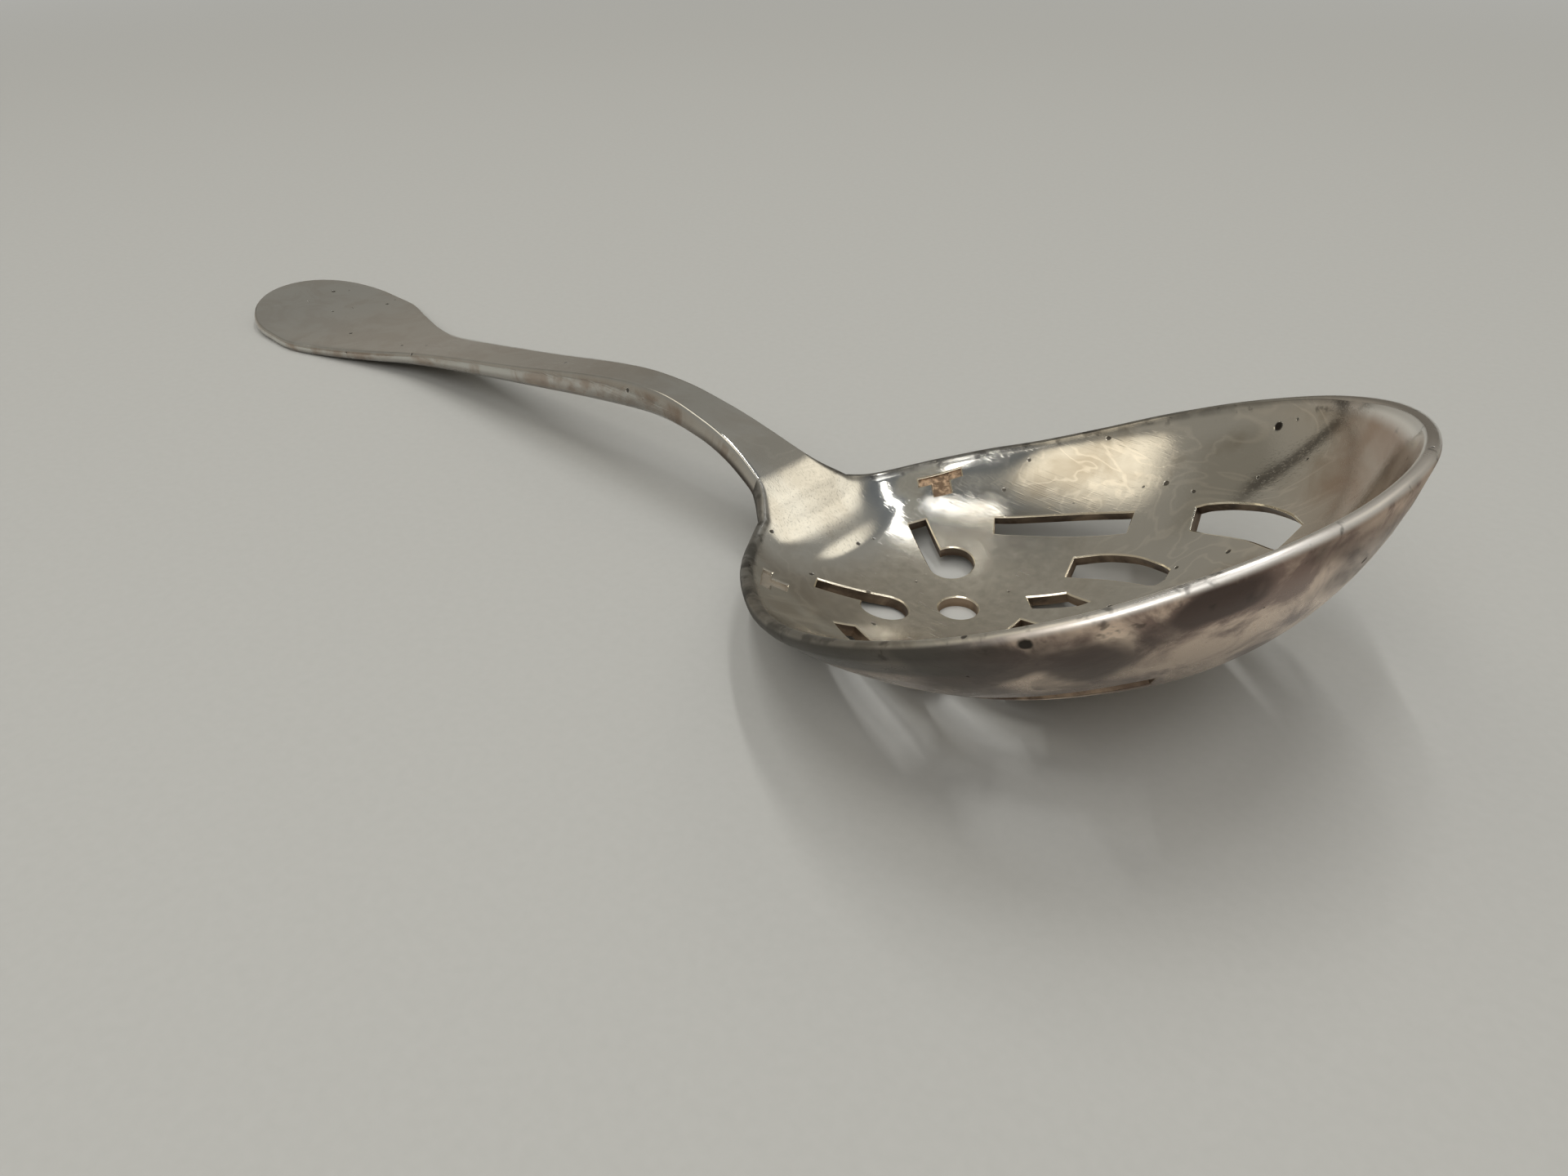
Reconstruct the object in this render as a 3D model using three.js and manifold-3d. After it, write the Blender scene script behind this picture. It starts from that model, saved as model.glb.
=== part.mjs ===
// Pierced olive spoon
//
// Lengths are in millimetres and +Z is up. The spoon lies at rest on the plane z = 0, with
// its long axis along X: the bowl tip is at +X and the handle end at -X. It is the same on
// both sides of the plane y = 0. Plan distances are measured from the bottom of the bowl.

import * as THREE from 'three';
import { mergeVertices } from 'three/addons/utils/BufferGeometryUtils.js';
import Module from 'manifold-3d';

const wasm = await Module();
wasm.setup();

// Bowl. The rim is read every 15 degrees from the tip round to the heel.

const bowlReach = 40.3;
const rimHeight = 33.3;
const bowlThickness = 1.5;
const rimReachShares = [
  1, 0.993, 0.97, 0.933, 0.868, 0.784, 0.702, 0.643, 0.605, 0.592, 0.597, 0.61, 0.618,
];
const rimHeightShares = [
  1, 0.976, 0.907, 0.799, 0.667, 0.532, 0.414, 0.33, 0.28, 0.235, 0.198, 0.183, 0.183,
];
const wallFullnessShares = [1.13, 1, 0.77, 0.55, 0.37, 0.27, 0.23, 0.25, 0.31, 0.4, 0.53, 0.67, 0.74];

// How near to upright the wall stands at the rim (1 would be upright)

const wallUprightShare = 0.992;

// Handle, read at these shares of its reach behind the bottom of the bowl

const handleReach = 156.2;
const archHeight = 14.85;
const paddleHalfWidth = 12.3;
const stemThickness = 3.6;
const stemBevel = 1.1;
const stationShares = [
  0.094, 0.113, 0.133, 0.146, 0.168, 0.182, 0.213, 0.247, 0.302, 0.37, 0.504, 0.62, 0.691, 0.744,
  0.809, 0.857, 0.904, 0.94, 1,
];
const topHeightShares = [
  0.148, 0.236, 0.337, 0.444, 0.626, 0.7, 0.828, 0.923, 1, 0.946, 0.67, 0.441, 0.3, 0.209, 0.138,
  0.114, 0.121, 0.148, 0.236,
];
const halfWidthShares = [
  1.057, 0.886, 0.74, 0.634, 0.407, 0.337, 0.256, 0.213, 0.183, 0.213, 0.272, 0.321, 0.394,
  0.553, 0.813, 0.992, 1,
];
const thicknessShares = [
  0.417, 0.417, 0.417, 0.444, 0.556, 0.611, 0.667, 0.75, 0.944, 0.986, 0.722, 0.583, 0.514,
  0.472, 0.444, 0.444, 0.431, 0.417, 0.389,
];
const bevelShares = [
  0.682, 0.682, 0.682, 0.682, 0.709, 0.773, 0.909, 0.982, 1, 0.927, 0.655, 0.545, 0.473, 0.436,
  0.409, 0.409, 0.409, 0.409, 0.409,
];

// Neck: where the two pieces meet, and how softly the neck runs into the bowl

const joinDistance = 27.8;
const joinOverlap = 1.6;
const neckBlend = 0.9;
const neckRootEnd = 14.8;
const neckSpreadStart = 17.8;
const neckFanStart = 24.6;
const neckBevelStart = 22.8;

// The bevelled sides of the stem have become the rounded edge of the paddle by here

const stemEnd = 96.8;
const paddleStart = 126.3;

// Level of the table, which has worn a flat on the underside of each piece

const restLevel = 0.15;

// Round hole on the axis

const roundHoleCentre = -0.27;
const roundHoleRadius = 2.27;

// Comma holes, each a round head with a straight tail

const commaHeadCentre = [-5.97, 6.35];
const commaHeadRadius = 2.7;
const commaTailLength = 8.1;
const commaTailWidth = 2.25;
const commaTailDegrees = 33;

// Slots on the +Y side. Each has a centre and a length, and the points of the edge nearer the
// rim and of the edge nearer the axis are shares of that length from the centre.

const longSlotCentre = [1.93, 16.9];
const longSlotLength = 15.9;
const longSlotOuterShares = [
  [-0.5, -0.11], [-0.264, 0.013], [-0.044, 0.107], [0.182, 0.182], [0.459, 0.239],
];
const longSlotInnerShares = [[-0.412, -0.236], [-0.17, -0.135], [0.182, -0.019], [0.503, 0.075]];

const bentSlotCentre = [12.13, 12.9];
const bentSlotLength = 11.9;
const bentSlotOuterShares = [
  [-0.5, 0.063], [-0.294, 0.151], [-0.101, 0.185], [0.113, 0.176], [0.353, 0.101],
  [0.479, 0.034],
];
const bentSlotInnerShares = [
  [-0.433, -0.176], [-0.084, -0.118], [0.21, -0.122], [0.429, -0.151], [0.496, -0.084],
];

const rimSlotCentre = [22.73, 17.5];
const rimSlotLength = 13.3;
const rimSlotOuterShares = [
  [-0.496, 0.293], [-0.398, 0.308], [-0.188, 0.282], [0.075, 0.188], [0.331, 0.015],
  [0.504, -0.165],
];
const rimSlotInnerShares = [[-0.429, 0.09], [-0.09, -0.015], [0.158, -0.135], [0.414, -0.316]];

const leafSlotCentre = [8.43, 6.5];
const leafSlotLength = 6.9;
const leafSlotShares = [
  [-0.507, -0.051], [0.014, 0.275], [0.109, 0.246], [0.493, 0.174], [0.377, 0.051],
  [-0.261, -0.268],
];

// Pointed slot on the axis

const axisSlotStart = 6.6;
const axisSlotStraight = 2.85;
const axisSlotTaper = 3.6;
const axisSlotWidth = 4.8;

// Sunk T shaped ornaments, which don't go through

const ornamentCentre = [-15.22, 16.0];
const ornamentDegrees = 49;
const ornamentBarLength = 5.45;
const ornamentBarWidth = 0.95;
const ornamentStemWidth = 2.2;
const ornamentStemLength = 1.87;
const ornamentDepth = 0.45;

// Reach of the cutting bodies past the metal, and the step used to read slopes

const cutterClearance = 0.9;
const slopeStep = 0.02;
const trimRoom = 5;
const justInsideShare = 0.9999;
const turnStepDegrees = 0.2;
const halvings = 40;

// Fineness of the surfaces

const rimStepDegrees = 15;
const ringCount = 15;
const edgeSteps = 6;
const sectorCount = 66;
const heelSectorCount = 26;
const heelSectorDegrees = 27;
const acrossSteps = 6;
const rowsPerStation = 4;
const endRows = 12;
const edgePointsPerSpan = 5;
const circlePoints = 32;

// Smooth curve through readings taken at rising places

function readCurve(places, values, place) {
  const last = places.length - 1;
  let i = 0;
  while (i < last - 1 && place > places[i + 1]) {
    i += 1;
  }
  const span = places[i + 1] - places[i];
  const t = Math.min(Math.max((place - places[i]) / span, 0), 1);
  const slopeAt = (k) => {
    const a = Math.max(k - 1, 0);
    const b = Math.min(k + 1, last);
    return (values[b] - values[a]) / (places[b] - places[a]);
  };
  const t2 = t * t;
  const t3 = t2 * t;
  const fromEnd = (2 * t3 - 3 * t2 + 1) * values[i] + (t3 - 2 * t2 + t) * span * slopeAt(i);
  const toEnd = (3 * t2 - 2 * t3) * values[i + 1] + (t3 - t2) * span * slopeAt(i + 1);
  return fromEnd + toEnd;
}

// Readings round the rim are the same on both sides, so they are mirrored past each end

function mirrorEnds(shares) {
  return [shares[1], ...shares, shares[shares.length - 2]];
}

const rimReads = mirrorEnds(rimReachShares);
const heightReads = mirrorEnds(rimHeightShares);
const fullnessReads = mirrorEnds(wallFullnessShares);
const rimPlaces = rimReads.map((share, k) => k - 1);

function readRim(reads, radians) {
  const turned = Math.abs(Math.atan2(Math.sin(radians), Math.cos(radians)));
  return readCurve(rimPlaces, reads, THREE.MathUtils.radToDeg(turned) / rimStepDegrees);
}

function readHandle(shares, x) {
  return readCurve(stationShares, shares, -x / handleReach);
}

function rimReach(radians) {
  return bowlReach * readRim(rimReads, radians);
}

// Height of the inside of the bowl, from its bottom up to the rim

function wallRise(share) {
  const tuck = 1 - Math.sqrt(1 - (wallUprightShare * share) ** 2);
  return tuck / (1 - Math.sqrt(1 - wallUprightShare ** 2));
}

function bowlHeight(x, y) {
  const radians = Math.atan2(y, x);
  const share = Math.min(Math.hypot(x, y) / rimReach(radians), 1);
  const fullness = readRim(fullnessReads, radians);
  const rise = (1 - fullness) * share ** 2 + fullness * wallRise(share);
  return bowlThickness + (rimHeight * readRim(heightReads, radians) - bowlThickness) * rise;
}

// Height of the upper face of the whole spoon: the neck fans out and sinks into the bowl

function upperHeight(x, y) {
  if (-x <= neckRootEnd) {
    return bowlHeight(x, y);
  }
  const neck = archHeight * readHandle(topHeightShares, x);
  if (-x >= joinDistance - joinOverlap) {
    return neck;
  }
  const bowl = bowlHeight(x, y);
  const fromBowl = THREE.MathUtils.smoothstep(-x, neckRootEnd, neckSpreadStart);
  const toHandle = 1 - THREE.MathUtils.smoothstep(-x, neckFanStart, joinDistance - joinOverlap);
  return (neck + bowl + Math.hypot(neck - bowl, neckBlend * fromBowl * toHandle)) / 2;
}

function thicknessAt(x) {
  if (-x <= neckRootEnd) {
    return bowlThickness;
  }
  return stemThickness * readHandle(thicknessShares, x);
}

function bulgeAt(x) {
  if (-x <= neckRootEnd) {
    return bowlThickness / 2;
  }
  return stemBevel * readHandle(bevelShares, x);
}

function upperPoint(x, y) {
  return new THREE.Vector3(x, y, upperHeight(x, y));
}

function upperNormal(x, y) {
  const slopeX = (upperHeight(x + slopeStep, y) - upperHeight(x - slopeStep, y)) / (2 * slopeStep);
  const slopeY = (upperHeight(x, y + slopeStep) - upperHeight(x, y - slopeStep)) / (2 * slopeStep);
  return new THREE.Vector3(-slopeX, -slopeY, 1).normalize();
}

// The edge turns from the upper face to the lower face. Round the rim it is half round. On
// the stem it slopes out to its widest place low down and then tucks under.

const bevelWidestShare = 2 / 3;

function edgeLine(top, normal, outward, thickness, bulge, bevelShare) {
  const points = [];
  for (let k = 0; k <= edgeSteps; k += 1) {
    const turn = (Math.PI * k) / edgeSteps;
    const share = k / edgeSteps;
    const bevelOut = Math.min(share / bevelWidestShare, (1 - share) / (1 - bevelWidestShare));
    const out = (1 - bevelShare) * Math.sin(turn) + bevelShare * bevelOut;
    const down = (1 - Math.cos(turn)) / 2;
    const point = top.clone();
    point.addScaledVector(outward, out * bulge);
    point.addScaledVector(normal, -down * thickness);
    points.push(point);
  }
  return points;
}

// Closed body from rows of points, each row being one loop round the section

function bodyFromLoops(loops, closedRound, lidFirst, lidLast) {
  const positions = [];
  const indices = [];
  const size = loops[0].length;
  for (const loop of loops) {
    for (const point of loop) {
      positions.push(point.x, point.y, point.z);
    }
  }
  const rows = closedRound ? loops.length : loops.length - 1;
  for (let i = 0; i < rows; i += 1) {
    const here = i * size;
    const next = ((i + 1) % loops.length) * size;
    for (let j = 0; j < size; j += 1) {
      const k = (j + 1) % size;
      indices.push(here + j, here + k, next + k);
      indices.push(here + j, next + k, next + j);
    }
  }
  if (lidFirst) {
    for (let j = 1; j < size - 1; j += 1) {
      indices.push(0, j + 1, j);
    }
  }
  if (lidLast) {
    const base = (loops.length - 1) * size;
    for (let j = 1; j < size - 1; j += 1) {
      indices.push(base, base + j, base + j + 1);
    }
  }
  const geometry = new THREE.BufferGeometry();
  geometry.setAttribute('position', new THREE.Float32BufferAttribute(positions, 3));
  geometry.setIndex(indices);
  return geometry;
}

// Passing between three.js geometry and solid bodies

function solidFrom(geometry) {
  geometry.deleteAttribute('normal');
  geometry.deleteAttribute('uv');
  const merged = mergeVertices(geometry);
  const index = [];
  for (let i = 0; i < merged.index.count; i += 3) {
    const corner = [merged.index.getX(i), merged.index.getX(i + 1), merged.index.getX(i + 2)];
    if (corner[0] !== corner[1] && corner[1] !== corner[2] && corner[2] !== corner[0]) {
      index.push(...corner);
    }
  }
  const mesh = new wasm.Mesh({
    numProp: 3,
    vertProperties: new Float32Array(merged.attributes.position.array),
    triVerts: new Uint32Array(index),
  });
  return new wasm.Manifold(mesh);
}

function geometryFrom(solid) {
  const mesh = solid.getMesh();
  const geometry = new THREE.BufferGeometry();
  geometry.setAttribute('position', new THREE.BufferAttribute(new Float32Array(mesh.vertProperties), 3));
  geometry.setIndex(new THREE.BufferAttribute(new Uint32Array(mesh.triVerts), 1));
  geometry.computeVertexNormals();
  return geometry;
}

function blockSolid(low, high) {
  const size = new THREE.Vector3().subVectors(high, low);
  const geometry = new THREE.BoxGeometry(size.x, size.y, size.z);
  geometry.translate((low.x + high.x) / 2, (low.y + high.y) / 2, (low.z + high.z) / 2);
  return solidFrom(geometry);
}

// Plan of the bowl piece: the rim, run out along the neck past the join

const neckEnd = joinDistance + joinOverlap;
const halfWidthPlaces = stationShares.slice(0, halfWidthShares.length);

function neckHalfWidth(distance) {
  return paddleHalfWidth * readCurve(halfWidthPlaces, halfWidthShares, distance / handleReach);
}

function planReach(radians) {
  const rim = rimReach(radians);
  const cosine = -Math.cos(radians);
  if (cosine <= 0) {
    return rim;
  }
  const sine = Math.abs(Math.sin(radians));
  const endReach = neckEnd / cosine;
  const inside = (reach) => sine * reach < neckHalfWidth(cosine * reach);
  let low = rim;
  let high = endReach;
  if (!inside(low)) {
    return rim;
  }
  if (inside(high)) {
    return endReach;
  }
  for (let k = 0; k < halvings; k += 1) {
    const middle = (low + high) / 2;
    if (inside(middle)) {
      low = middle;
    } else {
      high = middle;
    }
  }
  return low;
}

// Angles round the bowl, closer together where the neck joins

function sectorAngles() {
  const angles = [];
  const heel = THREE.MathUtils.degToRad(heelSectorDegrees);
  for (let i = 0; i < sectorCount; i += 1) {
    angles.push(-Math.PI + heel + ((2 * Math.PI - 2 * heel) * i) / sectorCount);
  }
  for (let i = 0; i < heelSectorCount; i += 1) {
    angles.push(Math.PI - heel + (2 * heel * i) / heelSectorCount);
  }
  return angles;
}

function planPoint(radians, share) {
  const reach = planReach(radians) * share;
  return new THREE.Vector2(Math.cos(radians) * reach, Math.sin(radians) * reach);
}

// The way out across the edge, lying in the upper face and square to the plan outline

function outwardAt(plan, along, normal) {
  const away = new THREE.Vector3(along.y, -along.x, 0);
  if (away.x * plan.x + away.y * plan.y < 0) {
    away.negate();
  }
  away.addScaledVector(normal, -away.dot(normal));
  return away.normalize();
}

function bowlShell() {
  const loops = sectorAngles().map((radians) => {
    const upper = [];
    const lower = [];
    for (let j = 0; j <= ringCount; j += 1) {
      const share = Math.sin((Math.PI * j) / (2 * ringCount));
      const plan = planPoint(radians, share);
      const top = upperPoint(plan.x, plan.y);
      const normal = upperNormal(plan.x, plan.y);
      upper.push(top);
      lower.push(top.clone().addScaledVector(normal, -thicknessAt(plan.x)));
    }
    const rimPlan = planPoint(radians, 1);
    const step = THREE.MathUtils.degToRad(turnStepDegrees);
    const along = planPoint(radians + step, 1).sub(planPoint(radians - step, 1));
    const top = upper[ringCount];
    const inPlan = planPoint(radians, justInsideShare);
    const normal = upperNormal(inPlan.x, inPlan.y);
    const outward = outwardAt(rimPlan, along, normal);
    const bevelShare = THREE.MathUtils.smoothstep(-rimPlan.x, neckBevelStart, joinDistance);
    const edge = edgeLine(top, normal, outward, thicknessAt(rimPlan.x), bulgeAt(rimPlan.x), bevelShare);
    const under = lower.slice(0, ringCount).reverse();
    return [...upper.slice(0, ringCount), ...edge, ...under];
  });
  return bodyFromLoops(loops, true, false, false);
}

// Handle, from inside the join to its rounded end

const endStart = handleReach * halfWidthPlaces[halfWidthPlaces.length - 1];

function handleRows() {
  const first = stationShares.findIndex((share) => handleReach * share > joinDistance);
  const distances = [joinDistance - joinOverlap, joinDistance];
  for (let i = first; i < halfWidthPlaces.length - 1; i += 1) {
    const span = stationShares[i + 1] - stationShares[i];
    for (let k = 0; k < rowsPerStation; k += 1) {
      distances.push(handleReach * (stationShares[i] + (span * k) / rowsPerStation));
    }
  }
  for (let k = 0; k <= endRows; k += 1) {
    const share = Math.sin((Math.PI * k) / (2 * endRows));
    distances.push(endStart + (handleReach - endStart) * share);
  }
  return distances;
}

// Past its widest place the paddle is rounded off as half an ellipse

function halfWidthAt(distance) {
  if (distance <= endStart) {
    return neckHalfWidth(distance);
  }
  const share = Math.min((distance - endStart) / (handleReach - endStart), 1);
  return paddleHalfWidth * Math.sqrt(1 - share ** 2);
}

function handleBody() {
  const loops = handleRows().map((distance) => {
    const x = -distance;
    const half = halfWidthAt(distance);
    const normal = upperNormal(x, 0);
    const thickness = thicknessAt(x);
    const before = halfWidthAt(distance - slopeStep);
    const after = halfWidthAt(Math.min(distance + slopeStep, handleReach));
    const slope = (after - before) / (2 * slopeStep);
    const paddleShare = THREE.MathUtils.smoothstep(distance, stemEnd, paddleStart);
    const edgeOn = (side) => {
      const away = new THREE.Vector3(slope, side, 0);
      if (distance >= handleReach) {
        away.set(-1, 0, 0);
      }
      away.addScaledVector(normal, -away.dot(normal));
      away.normalize();
      const top = upperPoint(x, side * half);
      return edgeLine(top, normal, away, thickness, bulgeAt(x), 1 - paddleShare);
    };
    const above = [];
    for (let j = 1; j < acrossSteps; j += 1) {
      above.push(upperPoint(x, half * ((2 * j) / acrossSteps - 1)));
    }
    const below = above.map((point) => point.clone().addScaledVector(normal, -thickness));
    return [...above, ...edgeOn(1), ...below.reverse(), ...edgeOn(-1).reverse()];
  });
  return bodyFromLoops(loops, false, true, false);
}

// Cutting bodies follow the surface, so the walls of each hole stand square to the metal

function cutterFrom(outline, below) {
  const count = outline.length;
  const positions = [];
  for (const [x, y] of outline) {
    const point = upperPoint(x, y).addScaledVector(upperNormal(x, y), cutterClearance);
    positions.push(point.x, point.y, point.z);
  }
  for (const [x, y] of outline) {
    const point = upperPoint(x, y).addScaledVector(upperNormal(x, y), -below);
    positions.push(point.x, point.y, point.z);
  }
  const plan = outline.map(([x, y]) => new THREE.Vector2(x, y));
  const faces = THREE.ShapeUtils.triangulateShape(plan, []);
  const indices = [];
  for (const [a, b, c] of faces) {
    indices.push(a, b, c);
    indices.push(c + count, b + count, a + count);
  }
  for (let i = 0; i < count; i += 1) {
    const j = (i + 1) % count;
    indices.push(i, i + count, j + count);
    indices.push(i, j + count, j);
  }
  const geometry = new THREE.BufferGeometry();
  geometry.setAttribute('position', new THREE.Float32BufferAttribute(positions, 3));
  geometry.setIndex(indices);
  return solidFrom(geometry);
}

function turningLeft(outline) {
  const plan = outline.map(([x, y]) => new THREE.Vector2(x, y));
  return THREE.ShapeUtils.isClockWise(plan) ? [...outline].reverse() : outline;
}

function mirrored(outline) {
  return outline.map(([x, y]) => [x, -y]);
}

function smoothEdge(points) {
  const curve = new THREE.SplineCurve(points.map(([x, y]) => new THREE.Vector2(x, y)));
  const count = (points.length - 1) * edgePointsPerSpan;
  return curve.getPoints(count).map((point) => [point.x, point.y]);
}

function slotPoints(centre, length, shares) {
  return shares.map(([x, y]) => [centre[0] + length * x, centre[1] + length * y]);
}

function bandOutline(centre, length, outerShares, innerShares) {
  const outer = smoothEdge(slotPoints(centre, length, outerShares));
  const inner = smoothEdge(slotPoints(centre, length, innerShares));
  return [...outer, ...inner.reverse()];
}

function circleOutline(centre, radius) {
  const points = [];
  for (let i = 0; i < circlePoints; i += 1) {
    const turn = (2 * Math.PI * i) / circlePoints;
    points.push([centre + radius * Math.cos(turn), radius * Math.sin(turn)]);
  }
  return points;
}

function commaOutline() {
  const lean = THREE.MathUtils.degToRad(commaTailDegrees);
  const tail = new THREE.Vector2(-Math.cos(lean), Math.sin(lean));
  const side = new THREE.Vector2(Math.sin(lean), Math.cos(lean));
  const centre = new THREE.Vector2(...commaHeadCentre);
  const at = (along, across) => {
    const point = centre.clone();
    point.addScaledVector(tail, along);
    point.addScaledVector(side, across);
    return [point.x, point.y];
  };
  const innerSide = commaTailWidth - commaHeadRadius;
  const sweep = 1.5 * Math.PI - Math.asin(innerSide / commaHeadRadius);
  const outline = [at(commaTailLength, innerSide), at(commaTailLength, -commaHeadRadius)];
  for (let i = 0; i <= circlePoints; i += 1) {
    const turn = -Math.PI / 2 - (sweep * i) / circlePoints;
    outline.push(at(commaHeadRadius * Math.cos(turn), commaHeadRadius * Math.sin(turn)));
  }
  return outline;
}

function ornamentOutline() {
  const lean = THREE.MathUtils.degToRad(ornamentDegrees);
  const bar = new THREE.Vector2(Math.cos(lean), Math.sin(lean));
  const stem = new THREE.Vector2(Math.sin(lean), -Math.cos(lean));
  const at = (along, down) => {
    const point = new THREE.Vector2(...ornamentCentre);
    point.addScaledVector(bar, along);
    point.addScaledVector(stem, down);
    return [point.x, point.y];
  };
  const halfBar = ornamentBarLength / 2;
  const halfDeep = ornamentBarWidth / 2;
  const halfStem = ornamentStemWidth / 2;
  return [
    at(-halfBar, -halfDeep),
    at(-halfBar, halfDeep),
    at(-halfStem, halfDeep),
    at(-halfStem, halfDeep + ornamentStemLength),
    at(halfStem, halfDeep + ornamentStemLength),
    at(halfStem, halfDeep),
    at(halfBar, halfDeep),
    at(halfBar, -halfDeep),
  ];
}

function axisSlotOutline() {
  const half = axisSlotWidth / 2;
  const shoulder = axisSlotStart + axisSlotStraight;
  return [
    [axisSlotStart, -half],
    [shoulder, -half],
    [shoulder + axisSlotTaper, 0],
    [shoulder, half],
    [axisSlotStart, half],
  ];
}

// Bowl piece: shell, less its holes, its ornaments and the worn flat

function makeBowl() {
  let solid = solidFrom(bowlShell());
  const through = bowlThickness + cutterClearance;
  const pairs = [
    commaOutline(),
    bandOutline(longSlotCentre, longSlotLength, longSlotOuterShares, longSlotInnerShares),
    bandOutline(bentSlotCentre, bentSlotLength, bentSlotOuterShares, bentSlotInnerShares),
    bandOutline(rimSlotCentre, rimSlotLength, rimSlotOuterShares, rimSlotInnerShares),
    slotPoints(leafSlotCentre, leafSlotLength, leafSlotShares),
  ];
  const outlines = [circleOutline(roundHoleCentre, roundHoleRadius), axisSlotOutline()];
  for (const outline of pairs) {
    outlines.push(outline, mirrored(outline));
  }
  for (const outline of outlines) {
    solid = solid.subtract(cutterFrom(turningLeft(outline), through));
  }
  for (const outline of [ornamentOutline(), mirrored(ornamentOutline())]) {
    solid = solid.subtract(cutterFrom(turningLeft(outline), ornamentDepth));
  }
  return solid;
}

// Trim both pieces at the join and level the flats that they rest on

const reach = handleReach + trimRoom;

function keepBetween(solid, lowX, highX) {
  const low = new THREE.Vector3(lowX, -reach, restLevel);
  const high = new THREE.Vector3(highX, reach, reach);
  return solid.intersect(blockSolid(low, high));
}

const bowlSolid = keepBetween(makeBowl(), -joinDistance, reach);
const handleSolid = keepBetween(solidFrom(handleBody()), -reach, -joinDistance);

function metalMaterial(color, roughness) {
  return new THREE.MeshStandardMaterial({ color, roughness, metalness: 1 });
}

const bowl = new THREE.Mesh(geometryFrom(bowlSolid), metalMaterial(0xc4bfb5, 0.22));
bowl.name = 'bowl';

const handle = new THREE.Mesh(geometryFrom(handleSolid), metalMaterial(0xb9b6ae, 0.28));
handle.name = 'handle';

// The spoon is set down on z = 0 with its length centred

const laid = new THREE.Group();
laid.name = 'laid_down';
laid.add(bowl, handle);
const bounds = new THREE.Box3().setFromObject(laid);
laid.position.x = -(bounds.min.x + bounds.max.x) / 2;
laid.position.z = -bounds.min.z;

const spoon = new THREE.Group();
spoon.name = 'olive_spoon';
spoon.add(laid);

export default spoon;
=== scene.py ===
# %% [markdown]
# # A pierced olive spoon in worn silver plate
#
# The real spoon is one blank of plated brass that was struck in a press, pierced while it was
# still flat, and then raised into a deep bowl with an arched stem. This notebook makes it in
# the same order: a flat sheet, its piercings, and then the bend. It needs only the packed
# frame, which tells where the bowl and the handle are.

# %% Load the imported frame
import math

import bmesh
import bpy
import numpy as np
from mathutils import Matrix, Vector


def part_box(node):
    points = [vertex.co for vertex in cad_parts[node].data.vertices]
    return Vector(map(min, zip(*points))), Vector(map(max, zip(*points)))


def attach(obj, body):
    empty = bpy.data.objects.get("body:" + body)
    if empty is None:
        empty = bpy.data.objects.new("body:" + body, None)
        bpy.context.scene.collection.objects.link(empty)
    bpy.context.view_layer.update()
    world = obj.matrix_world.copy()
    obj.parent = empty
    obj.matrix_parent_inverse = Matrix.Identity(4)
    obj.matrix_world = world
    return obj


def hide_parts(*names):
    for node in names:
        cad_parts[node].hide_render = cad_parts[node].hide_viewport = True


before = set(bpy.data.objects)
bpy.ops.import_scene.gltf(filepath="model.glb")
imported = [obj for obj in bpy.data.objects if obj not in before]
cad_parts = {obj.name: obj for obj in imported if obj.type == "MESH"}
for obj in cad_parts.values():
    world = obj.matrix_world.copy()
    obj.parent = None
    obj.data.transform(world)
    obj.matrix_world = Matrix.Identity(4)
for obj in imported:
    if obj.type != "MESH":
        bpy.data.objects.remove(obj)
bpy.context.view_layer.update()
print("CAD nodes:", sorted(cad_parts))

# %% [markdown]
# ## The sizes of the spoon
#
# A designer keeps the sizes of a spoon in a few named lengths, and the run of each curve as
# shares of them. The same lengths shape the solids of the frame, so the metal made here follows
# them. Lengths are in millimetres, measured from the bottom of the bowl.

# %% Sizes of the bowl
bowl_reach = 40.3
rim_height = 33.3
bowl_thickness = 1.5
rim_step_degrees = 15
rim_reach_shares = [1, 0.993, 0.97, 0.933, 0.868, 0.784, 0.702, 0.643, 0.605, 0.592, 0.597, 0.61, 0.618]
rim_height_shares = [1, 0.976, 0.907, 0.799, 0.667, 0.532, 0.414, 0.33, 0.28, 0.235, 0.198, 0.183, 0.183]
wall_fullness_shares = [1.13, 1, 0.77, 0.55, 0.37, 0.27, 0.23, 0.25, 0.31, 0.4, 0.53, 0.67, 0.74]
wall_upright_share = 0.992
print("bowl tip", rim_height, "mm high and", bowl_reach, "mm from the bottom of the bowl")

# %% Sizes of the handle
handle_reach = 156.2
arch_height = 14.85
paddle_half_width = 12.3
stem_thickness = 3.6
stem_bevel = 1.1
station_shares = [
    0.094, 0.113, 0.133, 0.146, 0.168, 0.182, 0.213, 0.247, 0.302, 0.37,
    0.504, 0.62, 0.691, 0.744, 0.809, 0.857, 0.904, 0.94, 1,
]
top_height_shares = [
    0.148, 0.236, 0.337, 0.444, 0.626, 0.7, 0.828, 0.923, 1, 0.946,
    0.67, 0.441, 0.3, 0.209, 0.138, 0.114, 0.121, 0.148, 0.236,
]
half_width_shares = [
    1.057, 0.886, 0.74, 0.634, 0.407, 0.337, 0.256, 0.213, 0.183, 0.213,
    0.272, 0.321, 0.394, 0.553, 0.813, 0.992, 1,
]
thickness_shares = [
    0.417, 0.417, 0.417, 0.444, 0.556, 0.611, 0.667, 0.75, 0.944, 0.986,
    0.722, 0.583, 0.514, 0.472, 0.444, 0.444, 0.431, 0.417, 0.389,
]
bevel_shares = [
    0.682, 0.682, 0.682, 0.682, 0.709, 0.773, 0.909, 0.982, 1, 0.927,
    0.655, 0.545, 0.473, 0.436, 0.409, 0.409, 0.409, 0.409, 0.409,
]
join_distance = 27.8
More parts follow.
